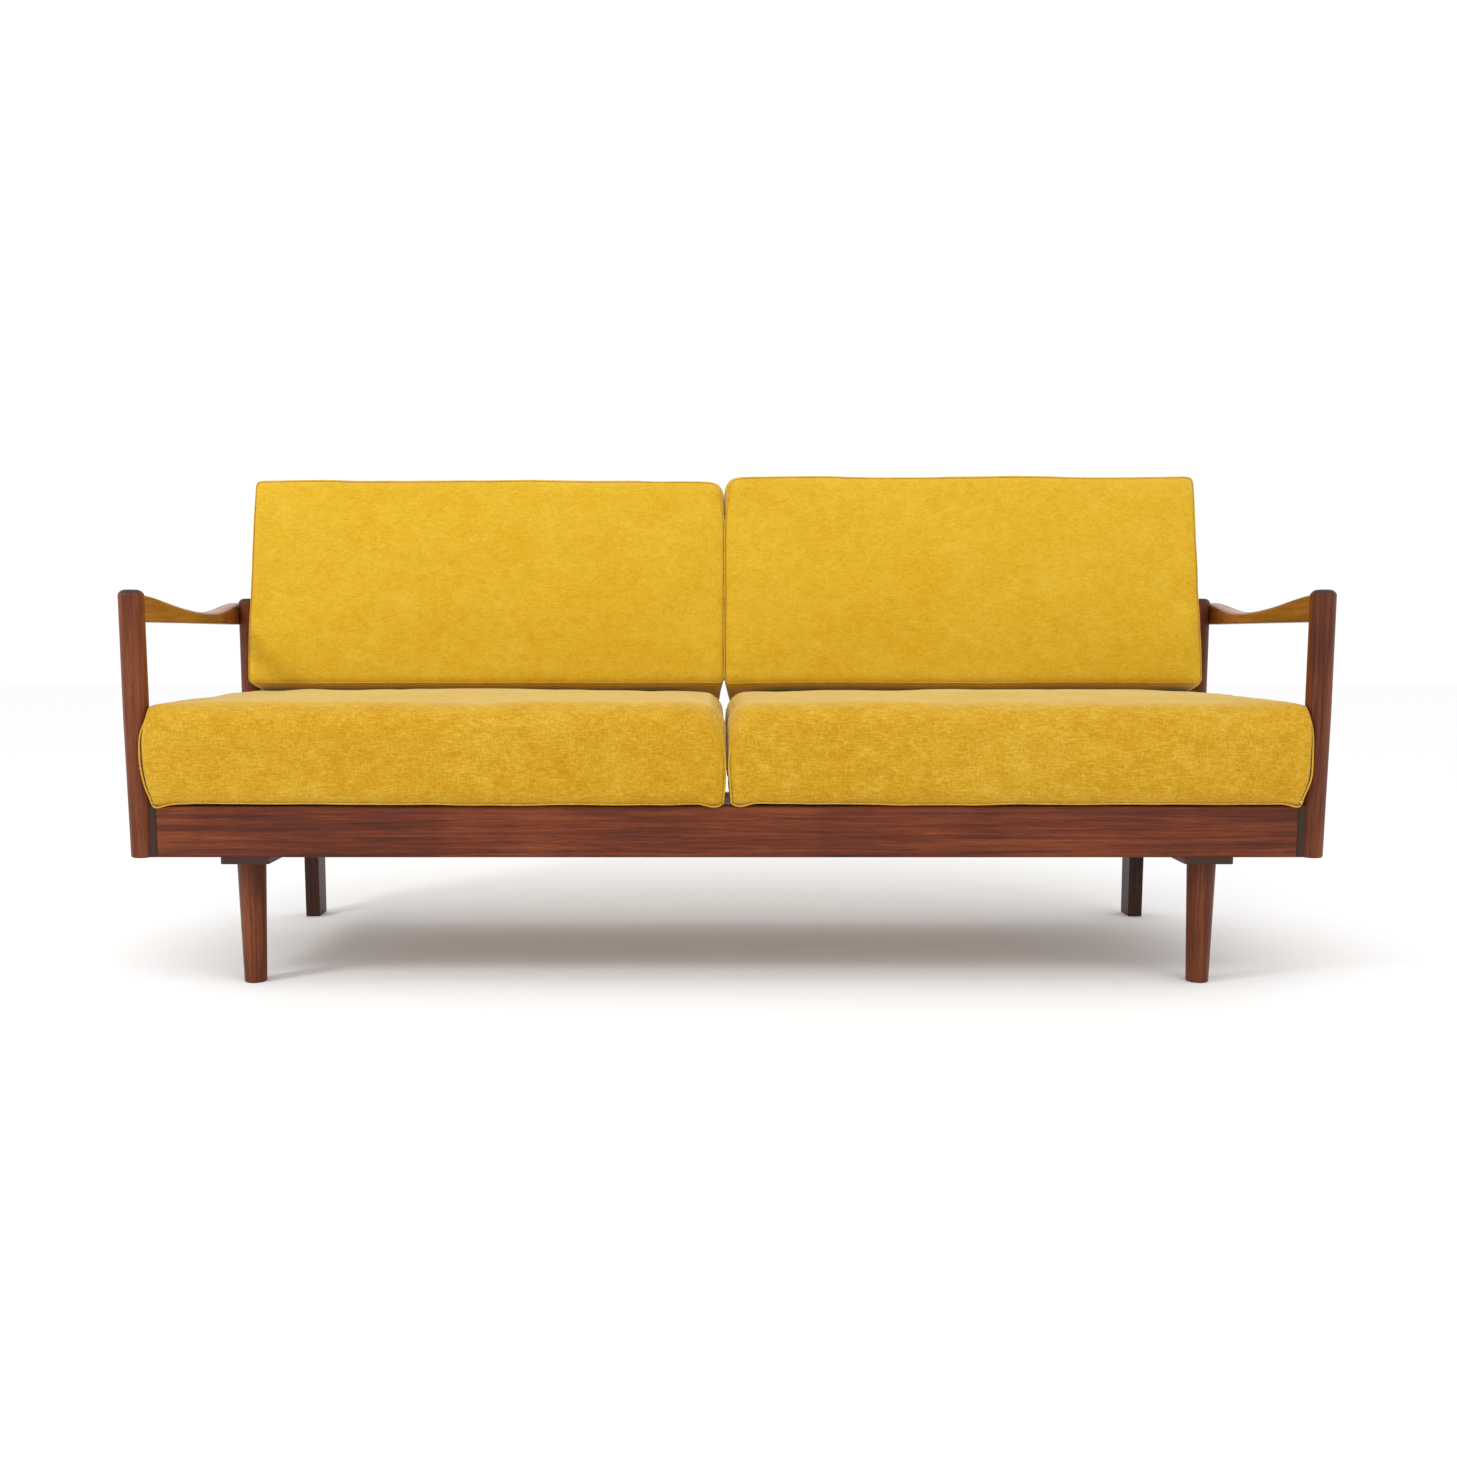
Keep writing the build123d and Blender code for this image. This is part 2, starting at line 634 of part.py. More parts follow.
save(fixed_cross_bar(), "fixed_cross_bar")
save(rear_rail(), "rear_rail")
save(front_rail(), "front_rail")
save(ledger(), "slat_ledger")
save(moving_cross_bar(), "moving_cross_bar")
for level, (start, height) in zip(("lower", "middle", "upper"), BACKREST_RAIL_HEIGHTS):
    save(backrest_rail(start, height), f"backrest_rail_{level}")
for number, x in enumerate(slat_places(False), 1):
    save(slat(x, FIXED_SLAT_Y, FIXED_BAR_Z[1], False), f"fixed_slat_{number}")
for number, x in enumerate(slat_places(True), 1):
    save(slat(x, MOVING_SLAT_Y, LEDGER_Z[1], True), f"moving_slat_{number}")

arm_dowel_points = [(-POST_X, ARM_JOINT_Z), (POST_X, ARM_JOINT_Z)]
save(rods(dowel_plane(), arm_dowel_points, DOWEL_R, -DOWEL_LENGTH, 0), "arm_dowels")
side_screws = [screws(side_screw_plane(s), side_screw_points(s), SIDE_SCREW_LENGTH) for s in (-1, 1)]
arm_screws = [screws(arm_screw_plane(s), [(-s * BACK, ARM_JOINT_Z)], ARM_SCREW_LENGTH) for s in (-1, 1)]
frame_screws = [screws(frame_screw_plane(s), frame_screw_points(s), FRAME_SCREW_LENGTH) for s in (-1, 1)]
for pair, name in (
    (side_screws, "side_rail_screws"),
    (arm_screws, "arm_screws"),
    (frame_screws, "frame_screws"),
):
    with BuildPart() as both:
        add([one.part for one in pair])
    save(both, name)
save(screws(Plane.XY.offset(RAIL_TOP), slat_screw_points(False), SLAT_SCREW_LENGTH), "fixed_slat_screws")
save(screws(Plane.XY.offset(RAIL_TOP), slat_screw_points(True), SLAT_SCREW_LENGTH), "moving_slat_screws")
save(screws(backrest_plane(), backrest_screw_points(), BACKREST_SCREW_LENGTH), "backrest_screws")
save(screws(runner_screw_plane(), runner_screw_points(), RUNNER_SCREW_LENGTH), "runner_screws")
save(screws(ledger_screw_plane(), ledger_screw_points(), LEDGER_SCREW_LENGTH), "ledger_screws")
save(guide_screws(), "guide_screws")
save(carriage_bolts(), "rear_leg_bolts")
save(hex_nuts(), "rear_leg_nuts")
hanger_points = [(side * FRONT_LEG_X, FRONT_LEG_Y) for side in (-1, 1)]
hanger_bolts = rods(
    Plane.XY.offset(RUNNER_Z[0]), hanger_points, BOLT_R, -HANGER_LENGTH[0], HANGER_LENGTH[1]
)
save(hanger_bolts, "leg_hanger_bolts")
save(inserts(), "leg_inserts")
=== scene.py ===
import json
import math

import bpy
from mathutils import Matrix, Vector, noise


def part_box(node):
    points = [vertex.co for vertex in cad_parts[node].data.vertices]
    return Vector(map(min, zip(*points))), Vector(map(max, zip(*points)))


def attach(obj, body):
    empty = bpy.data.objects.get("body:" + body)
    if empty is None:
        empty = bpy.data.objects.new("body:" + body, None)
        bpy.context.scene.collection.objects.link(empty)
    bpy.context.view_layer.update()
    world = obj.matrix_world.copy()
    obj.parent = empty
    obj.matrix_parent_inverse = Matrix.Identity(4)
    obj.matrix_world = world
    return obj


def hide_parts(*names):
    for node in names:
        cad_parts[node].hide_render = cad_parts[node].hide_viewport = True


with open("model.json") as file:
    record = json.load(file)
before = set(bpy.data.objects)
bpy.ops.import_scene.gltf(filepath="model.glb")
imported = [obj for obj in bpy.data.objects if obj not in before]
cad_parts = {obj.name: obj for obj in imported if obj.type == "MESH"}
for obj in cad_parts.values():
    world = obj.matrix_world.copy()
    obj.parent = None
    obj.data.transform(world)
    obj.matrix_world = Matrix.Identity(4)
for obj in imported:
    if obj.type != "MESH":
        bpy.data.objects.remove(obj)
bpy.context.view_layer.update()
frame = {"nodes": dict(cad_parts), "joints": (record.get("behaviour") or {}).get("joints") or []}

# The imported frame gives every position; lengths are in metres.
LEAN = math.radians(14.0)  # the backrest's lean, as in the CAD
BACK_THICKNESS = 0.126  # of a back cushion, square to the lean
TOE_DROP = 0.020  # how far a back cushion's front panel sits below its rear panel
CLOTH_SQUARE = 0.0125
CLOTH_FRAMES = 20


# ---------------------------------------------------------------- materials

class Nodes:
    """Short names for making shader nodes in one material."""

    def __init__(self, name):
        self.material = bpy.data.materials.new(name)
        self.material.use_nodes = True
        self.tree = self.material.node_tree
        self.shader = self.tree.nodes["Principled BSDF"]
        self.position = self.add("ShaderNodeTexCoord").outputs["Object"]

    def add(self, kind, **settings):
        node = self.tree.nodes.new(kind)
        for key, value in settings.items():
            setattr(node, key, value)
        return node

    def link(self, out, socket):
        self.tree.links.new(out, socket)

    def noise(self, stretch, detail=4.0, roughness=0.55, distortion=0.0):
        """Noise whose frequency per metre along each axis is `stretch`."""
        mapping = self.add("ShaderNodeMapping")
        mapping.inputs["Scale"].default_value = stretch
        self.link(self.position, mapping.inputs["Vector"])
        texture = self.add("ShaderNodeTexNoise")
        texture.inputs["Scale"].default_value = 1.0
        texture.inputs["Detail"].default_value = detail
        texture.inputs["Roughness"].default_value = roughness
        texture.inputs["Distortion"].default_value = distortion
        self.link(mapping.outputs["Vector"], texture.inputs["Vector"])
        return texture.outputs["Fac"]

    def ramp(self, value, *stops):
        node = self.add("ShaderNodeValToRGB")
        elements = node.color_ramp.elements
        while len(elements) < len(stops):
            elements.new(0.5)
        for element, (place, colour) in zip(elements, stops):
            element.position = place
            element.color = (*colour, 1.0)
        self.link(value, node.inputs["Fac"])
        return node.outputs["Color"]

    def span(self, value, low, high, start=0.3, end=0.7):
        node = self.add("ShaderNodeMapRange")
        node.inputs["From Min"].default_value = start
        node.inputs["From Max"].default_value = end
        node.inputs["To Min"].default_value = low
        node.inputs["To Max"].default_value = high
        self.link(value, node.inputs["Value"])
        return node.outputs["Result"]

    def mix(self, a, b, factor, blend="MIX"):
        node = self.add("ShaderNodeMix", data_type="RGBA", blend_type=blend)
        for socket, value in ((node.inputs["A"], a), (node.inputs["B"], b)):
            if isinstance(value, tuple):
                socket.default_value = (*value, 1.0)
            else:
                self.link(value, socket)
        if isinstance(factor, float):
            node.inputs["Factor"].default_value = factor
        else:
            self.link(factor, node.inputs["Factor"])
        return node.outputs["Result"]

    def facing(self, axis, start, end):
        """Rises from 0 to 0.9 as the surface turns to look along an axis, either way."""
        parts = self.add("ShaderNodeSeparateXYZ")
        self.link(self.add("ShaderNodeNewGeometry").outputs["Normal"], parts.inputs[0])
        size = self.add("ShaderNodeMath", operation="ABSOLUTE")
        self.link(parts.outputs[axis], size.inputs[0])
        return self.span(size.outputs[0], 0.0, 0.9, start, end)

    def sum(self, *pairs):
        """Weighted sum of values."""
        total = None
        for value, weight in pairs:
            node = self.add("ShaderNodeMath", operation="MULTIPLY_ADD")
            self.link(value, node.inputs[0])
            node.inputs[1].default_value = weight
            if total is None:
                node.inputs[2].default_value = 0.0
            else:
                self.link(total, node.inputs[2])
            total = node.outputs[0]
        return total

    def bump(self, height, distance, strength=1.0):
        node = self.add("ShaderNodeBump")
        node.inputs["Distance"].default_value = distance
        node.inputs["Strength"].default_value = strength
        self.link(height, node.inputs["Height"])
        self.link(node.outputs["Normal"], self.shader.inputs["Normal"])


END_GRAIN = (0.030, 0.018, 0.013)


def stretched(axis, along, across):
    """Noise frequencies for something that runs along one axis."""
    return tuple(along if k == axis else across for k in range(3))


def velvet(name, pale, mid, deep):
    """Chenille velvet: a soft mottled pile over a fine slubbed weave."""
    m = Nodes(name)
    patches = m.noise((7, 7, 7), 4.0, 0.6, 0.4)
    clouds = m.noise((34, 44, 44), 5.0, 0.6, 0.5)
    slubs = m.noise((80, 430, 430), 3.0, 0.6)
    threads = m.noise((430, 430, 100), 3.0, 0.6)
    fuzz = m.noise((420, 420, 420), 3.0, 0.6)
    weave = ((slubs, 0.27), (threads, 0.17), (fuzz, 0.28))
    tone = m.sum((patches, 0.10), (clouds, 0.18), *weave)
    colour = m.ramp(tone, (0.41, deep), (0.50, mid), (0.59, pale))
    m.link(colour, m.shader.inputs["Base Color"])
    m.link(m.span(clouds, 0.78, 0.95), m.shader.inputs["Roughness"])
    m.shader.inputs["Specular IOR Level"].default_value = 0.10
    m.shader.inputs["Sheen Weight"].default_value = 0.45
    m.shader.inputs["Sheen Roughness"].default_value = 0.45
    m.shader.inputs["Sheen Tint"].default_value = (1.0, 0.98, 0.60, 1.0)
    m.bump(m.sum((slubs, 0.5), (threads, 0.35), (fuzz, 0.25), (clouds, 0.3)), 0.0011, 0.7)
    return m.material


def stained_wood(name, axis, colours, gloss=0.42, coat=0.05, turn=(0.75, 0.97)):
    """Red-brown stained hardwood with grain along one axis and darker end grain.

    `colours` run from dark to light. `turn` says how squarely a surface looks along the
    grain where it starts to darken, and where it has darkened fully.
    """
    dark, mid, light = colours
    m = Nodes(name)
    bands = m.noise(stretched(axis, 3.0, 70), 5.0, 0.6, 0.6)
    grain = m.noise(stretched(axis, 6, 260), 4.0, 0.6, 0.4)
    pores = m.noise(stretched(axis, 42, 1500), 2.0, 0.5)
    blotch = m.noise((5, 5, 5), 3.0, 0.5, 0.3)
    tone = m.sum((bands, 0.34), (grain, 0.38), (blotch, 0.28))
    colour = m.ramp(tone, (0.40, dark), (0.50, mid), (0.61, light))
    pits = m.ramp(pores, (0.36, (0.55, 0.5, 0.48)), (0.47, (1.0, 1.0, 1.0)))
    sides = m.mix(colour, pits, 0.8, "MULTIPLY")
    whole = m.mix(sides, END_GRAIN, m.facing(axis, *turn))
    m.link(whole, m.shader.inputs["Base Color"])
    m.link(m.span(grain, gloss - 0.06, gloss + 0.12), m.shader.inputs["Roughness"])
    m.shader.inputs["Specular IOR Level"].default_value = 0.18
    m.shader.inputs["Coat Weight"].default_value = coat
    m.shader.inputs["Coat Roughness"].default_value = 0.25
    m.bump(m.sum((pores, 0.6), (grain, 0.5)), 0.00035, 0.6)
    return m.material


def bare_wood(name, axis, dark, light):
    """Unstained timber inside the frame."""
    m = Nodes(name)
    bands = m.noise(stretched(axis, 1.2, 34), 4.0, 0.55, 0.8)
    grain = m.noise(stretched(axis, 6, 260), 3.0, 0.6)
    colour = m.ramp(m.sum((bands, 0.6), (grain, 0.4)), (0.38, dark), (0.62, light))
    m.link(colour, m.shader.inputs["Base Color"])
    m.link(m.span(grain, 0.55, 0.75), m.shader.inputs["Roughness"])
    m.bump(grain, 0.0004, 0.5)
    return m.material


def steel(name):
    """Plain steel with fine scratches."""
    m = Nodes(name)
    scratches = m.noise((300, 300, 40), 3.0, 0.6)
    colour = m.ramp(scratches, (0.3, (0.30, 0.29, 0.28)), (0.7, (0.52, 0.51, 0.50)))
    m.link(colour, m.shader.inputs["Base Color"])
    m.link(m.span(scratches, 0.28, 0.5), m.shader.inputs["Roughness"])
    m.shader.inputs["Metallic"].default_value = 1.0
    m.bump(scratches, 0.0001, 0.4)
    return m.material


ALONG_X, ALONG_Y, ALONG_Z = 0, 1, 2
RAIL_STAIN = ((0.058, 0.011, 0.004), (0.116, 0.022, 0.006), (0.195, 0.045, 0.012))
POST_STAIN = ((0.062, 0.013, 0.004), (0.122, 0.028, 0.008), (0.190, 0.052, 0.016))
ARM_STAIN = ((0.11, 0.028, 0.006), (0.23, 0.068, 0.012), (0.34, 0.120, 0.026))
# Painted shade: the rear legs get a much darker copy of the stain, standing in for the shade under
# the sofa.
PAINTED_SHADE_STAIN = ((0.022, 0.007, 0.004), (0.048, 0.015, 0.007), (0.080, 0.027, 0.012))
wood = {
    "rail": stained_wood("rail_wood", ALONG_X, RAIL_STAIN),
    "side": stained_wood("side_wood", ALONG_Y, RAIL_STAIN),
    "post": stained_wood("post_wood", ALONG_Z, POST_STAIN, turn=(0.3, 0.65)),
    "arm": stained_wood("arm_wood", ALONG_Y, ARM_STAIN, 0.32, 0.35),
    "rear": stained_wood("rear_leg_painted_shade_wood", ALONG_Z, PAINTED_SHADE_STAIN),
    "slat": bare_wood("slat_wood", ALONG_Y, (0.26, 0.14, 0.062), (0.45, 0.28, 0.14)),
    "bar": bare_wood("bar_wood", ALONG_X, (0.24, 0.13, 0.058), (0.42, 0.26, 0.13)),
}
metal = steel("fastener_steel")
yellow = velvet(
    "mustard_velvet", (0.55, 0.355, 0.044), (0.48, 0.262, 0.009), (0.41, 0.186, 0.003)
)
# Painted sheen: the back cushions get a paler, yellower copy of the seat velvet, standing in for
# the light that their leaning pile catches.
sheen_painted_yellow = velvet(
    "mustard_velvet_upright_painted_sheen", (0.60, 0.395, 0.040), (0.56, 0.336, 0.014), (0.50, 0.268, 0.004)
)
seam_velvet = velvet(
    "seam_velvet", (0.60, 0.38, 0.035), (0.52, 0.29, 0.013), (0.42, 0.20, 0.006)
)


def finish_for(name):
    """The material of a CAD node, from its name."""
    if any(word in name for word in ("screws", "bolts", "nuts", "inserts", "guide")):
        return metal
    if "slat" in name and "ledger" not in name:
        return wood["slat"]
    if "bar" in name or "ledger" in name or name == "rear_rail":
        return wood["bar"]
    if "armrest" in name:
        return wood["arm"]
    if "rear_leg" in name:
        return wood["rear"]
    if "post" in name or "front_leg" in name:
        return wood["post"]
    if "side_rail" in name or "runner" in name:
        return wood["side"]
    if "dowels" in name:
        return wood["slat"]
    return wood["rail"]


for node_name, node in frame["nodes"].items():
    node.data.materials.clear()
    node.data.materials.append(finish_for(node_name))


# ---------------------------------------------------------------- cushions

def smooth_step(value, low, high):
    """0 at `low`, 1 at `high` and smooth between, whichever of the two is greater."""
    share = max(0.0, min(1.0, (value - low) / (high - low)))
    return share * share * (3 - 2 * share)


def box_grid(size, radius_at):
    """A closed quad box with rounded edges, centred on the origin.

    Gives its points and faces, the grid place of each point, and the squares per side.
    """
    counts = [max(4, round(s / CLOTH_SQUARE)) for s in size]
    half = [s / 2 for s in size]
    index, points, keys, faces = {}, [], [], []

    def vertex(key):
        if key not in index:
            raw = Vector([-h + 2 * h * k / n for h, k, n in zip(half, key, counts)])
            radius = radius_at(raw)
            core = Vector([max(-h + radius, min(h - radius, v)) for h, v in zip(half, raw)])
            out = raw - core
            if out.length > 1e-9:
                raw = core + out.normalized() * radius
            index[key] = len(points)
            points.append(raw)
            keys.append(key)
        return index[key]

    for axis in range(3):
        u, v = (axis + 1) % 3, (axis + 2) % 3
        for level in (0, counts[axis]):
            for i in range(counts[u]):
                for j in range(counts[v]):
                    corners = []
                    for du, dv in ((0, 0), (1, 0), (1, 1), (0, 1)):
                        key = [0, 0, 0]
                        key[axis], key[u], key[v] = level, i + du, j + dv
                        corners.append(vertex(tuple(key)))
                    faces.append(corners if level else corners[::-1])
    return points, faces, keys, counts


def new_cover(name, points, faces, material):
    """A smooth-shaded mesh in the scene."""
    mesh = bpy.data.meshes.new(name)
    mesh.from_pydata(points, [], faces)
    mesh.materials.append(material)
    for polygon in mesh.polygons:
        polygon.use_smooth = True
    obj = bpy.data.objects.new(name, mesh)
    bpy.context.scene.collection.objects.link(obj)
    return obj


def swell(obj):
    """How far each point of a closed cover moves when it is blown up like a cushion."""
    start = [v.co.copy() for v in obj.data.vertices]
    cloth = obj.modifiers.new("Cloth", "CLOTH")
    settings = cloth.settings
    settings.quality = 5
    settings.mass = 0.3
    settings.tension_stiffness = 18
    settings.compression_stiffness = 18
    settings.shear_stiffness = 6
    settings.bending_stiffness = 1.2
    settings.use_pressure = True
    settings.uniform_pressure_force = 4.0
    settings.effector_weights.gravity = 0.0
    cloth.point_cache.frame_start = 1
    cloth.point_cache.frame_end = CLOTH_FRAMES
    scene = bpy.context.scene
    for step in range(1, CLOTH_FRAMES + 1):
        scene.frame_set(step)
    shape = obj.evaluated_get(bpy.context.evaluated_depsgraph_get()).data
    moves = [v.co - a for v, a in zip(shape.vertices, start)]
    obj.modifiers.remove(cloth)
    scene.frame_set(1)
    drift = sum(moves, Vector()) / len(moves)
    return [move - drift for move in moves]


def settle(moves, keys, counts, axes, reach):
    """Scale the swelling so that each axis's panels rise by `reach`, with their edges kept out."""
    settled = [Vector() for _ in moves]
    for axis, along, rise in zip(range(3), axes, reach):
        pushes = [move.dot(along) for move in moves]
        for end, way in ((0, -1), (counts[axis], 1)):
            panel = [n for n, key in enumerate(keys) if key[axis] == end]
            most = max(way * pushes[n] for n in panel)
            scale = rise / most if most > 1e-6 else 0.0
            for n in panel:
                settled[n] += along * way * max(way * pushes[n] * scale, -0.0015)
    return settled


def seam_loop(keys, counts, axis, level):
    """Vertex numbers around one face of the box grid, in order."""
    u, v = (axis + 1) % 3, (axis + 2) % 3
    wanted = {}
    for number, key in enumerate(keys):
        if key[axis] == level and (key[u] in (0, counts[u]) or key[v] in (0, counts[v])):
            wanted[(key[u], key[v])] = number
    path = [(i, 0) for i in range(counts[u])] + [(counts[u], j) for j in range(counts[v])]
    path += [(i, counts[v]) for i in range(counts[u], 0, -1)]
    path += [(0, j) for j in range(counts[v], 0, -1)]
    return [wanted[p] for p in path]


def crease(obj, loops, depth):
    """Pull the cover in along its seams."""
    vertices = obj.data.vertices
    normals = [v.normal.copy() for v in vertices]
    on_seam = {n for loop in loops for n in loop}
    beside = set()
    for edge in obj.data.edges:
        if len(on_seam.intersection(edge.vertices)) == 1:
            beside.update(set(edge.vertices) - on_seam)
    for numbers, share in ((on_seam, 1.0), (beside, 0.3)):
        for n in numbers:
            vertices[n].co -= normals[n] * depth * share


def ruffle(obj, seed, size, depth):
    """Small uneven swells in the cover."""
    offset = Vector((seed * 3.7, seed * 1.9, seed * 5.3))
    for vertex in obj.data.vertices:
        wave = noise.fractal(vertex.co / size + offset, 0.8, 2.1, 3)
        vertex.co += vertex.normal * depth * wave


def refine(obj):
    """One applied subdivision."""
    modifier = obj.modifiers.new("Subdivision", "SUBSURF")
    modifier.levels = 1
    modifier.render_levels = 1
    shape = obj.evaluated_get(bpy.context.evaluated_depsgraph_get())
    mesh = bpy.data.meshes.new_from_object(shape)
    obj.modifiers.clear()
    obj.data = mesh


def welt(name, places, radius, material):
    """A thin sewn ridge along a closed row of places."""
    curve = bpy.data.curves.new(name, "CURVE")
    curve.dimensions = "3D"
    curve.bevel_depth = radius
    curve.bevel_resolution = 2
    spline = curve.splines.new("NURBS")
    spline.points.add(len(places) - 1)
    for point, place in zip(spline.points, places):
        point.co = (*place, 1.0)
    spline.order_u = 4
    spline.use_cyclic_u = True
    curve.materials.append(material)
    piece = bpy.data.objects.new(name, curve)
    bpy.context.scene.collection.objects.link(piece)
    return piece


def seam_welts(name, obj, loops, radius, lift):
    """A welt along each seam of a cover, raised from it by `lift`."""
    vertices = obj.data.vertices
    pieces = []
    for end, loop in zip(("a", "b", "c"), loops):
        places = [vertices[n].co + vertices[n].normal * lift for n in loop]
        pieces.append(welt(f"{name}_{end}", places, radius, seam_velvet))
    return pieces


def upholster(node, body, cover, welts):
    """Hand a finished cushion and its welts to the frame."""
    refine(cover)
    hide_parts(node)
    for piece in [cover] + welts:
        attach(piece, body)


class Cushion:
    """A cushion's place in the frame, and the post beyond its outer end."""

    def __init__(self, kind, side, post_row):
        self.node = f"{kind}_cushion_{side}"
        self.sign = 1 if side == "right" else -1
        self.low, self.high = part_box(self.node)
        self.inner, self.outer = sorted((abs(self.low.x), abs(self.high.x)))
        post_low, post_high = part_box(f"{post_row}_post_{side}")
        self.post_front = post_low.y
        self.post_inner = min(abs(post_low.x), abs(post_high.x))

    def share(self, p):
        """0 at the cushion's inner end, near the sofa's middle, and 1 at its outer end."""
        return (self.sign * p.x - self.inner) / (self.outer - self.inner)

    def drape(self, cover, seed, wave, loops, seam_depth):
        """Ruffle a swollen cover, pull its seams in and rest it against its neighbours."""
        cover.data.update()
        ruffle(cover, seed, wave, 0.0030)
        cover.data.update()
        crease(cover, loops, seam_depth)
        for vertex in cover.data.vertices:
            self.rest(vertex.co)
        cover.data.update()


class Seat(Cushion):
    """A box cushion whose cover rolls over the front and spills out in front of the post."""

    axes = (Vector((1, 0, 0)), Vector((0, 1, 0)), Vector((0, 0, 1)))

    def __init__(self, side, spill):
        super().__init__("seat", side, "front")
        self.size = self.high - self.low
        self.back_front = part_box(f"back_cushion_{side}")[0].y
        self.spill = spill

    def radius(self, p):
        """Edge radius: full on top, at the front and at the inner end."""
        top = smooth_step(p.z, -0.02, 0.06)
        front = smooth_step(-p.y, self.size.y / 2 - 0.06, self.size.y / 2 - 0.01)
        share = 0.5 + self.sign * p.x / self.size.x
        ends = 0.016 * smooth_step(share, 0.08, 0.0) - 0.014 * smooth_step(share, 0.92, 1.0)
        return 0.007 + top * (0.013 + 0.010 * front + ends)

    def crown(self, cover, moves):
        """Move the cover by its swelling, which rises far less towards the rear."""
        for vertex, move in zip(cover.data.vertices, moves):
            rear = smooth_step(vertex.co.y, self.low.y + 0.24, self.low.y + 0.50)
            move.z *= 1 - 0.85 * rear
            vertex.co += move

    def rest(self, p):
        """Round the front and keep a point clear of the post, slats and back cushion."""
        rise = (p.z - self.low.z) / self.size.z
        full = smooth_step(self.low.y + 0.05 - p.y, 0.0, 0.04)
        p.y -= 0.010 * full * max(0.0, 1 - (2 * rise - 1) ** 4)
        share = self.share(p)
        p.x = self.sign * self.reach(p, share)
        p.z = max(p.z, self.low.z)
        ceiling = self.ceiling(p, share)
        corner = self.corner(p)
        p.z -= 0.0065 * corner
        p.y -= 0.0040 * corner
        p.z = min(p.z, ceiling)

    def reach(self, p, share):
        """Distance from the sofa's middle, fuller half way up the front at both ends."""
        before_post = smooth_step(self.post_front - p.y, -0.001, 0.004)
        belly = max(0.0, 1 - ((p.z - self.low.z - 0.125) / 0.130) ** 2)
        front = smooth_step(self.low.y + 0.10 - p.y, 0.0, 0.09)
        reach = self.sign * p.x - 0.007 * belly * front * smooth_step(share, 0.1, 0.0)
        outward = 0.004 + (0.006 + 0.011 * before_post) * belly * front
        reach += outward * smooth_step(share, 0.88, 1.0)
        limit = self.post_inner - 0.0012 + self.spill * before_post
        return max(min(reach, limit), 0.0006)

    def ceiling(self, p, share):
        """The greatest height, lower under the back cushion and lowest at the middle gap."""
        press = smooth_step(p.y, self.back_front - 0.05, self.back_front + 0.02)
        hollow = 0.030 * smooth_step(share, 0.08, 0.02) - 0.004 * smooth_step(share, 0.90, 0.97)
        return self.high.z + 0.012 - (0.017 + hollow) * press

    def corner(self, p):
        """Near 1 at the two lower front corners, where the tucked cover makes a small lobe."""
        places = (self.inner + 0.018, self.outer - 0.006)
        lobe = max(math.exp(-((self.sign * p.x - x) / 0.011) ** 2) for x in places)
        low_down = smooth_step(self.low.z + 0.014 - p.z, 0.0, 0.010)
        forward = smooth_step(self.low.y + 0.016 - p.y, 0.0, 0.006)
        return lobe * (low_down * forward)


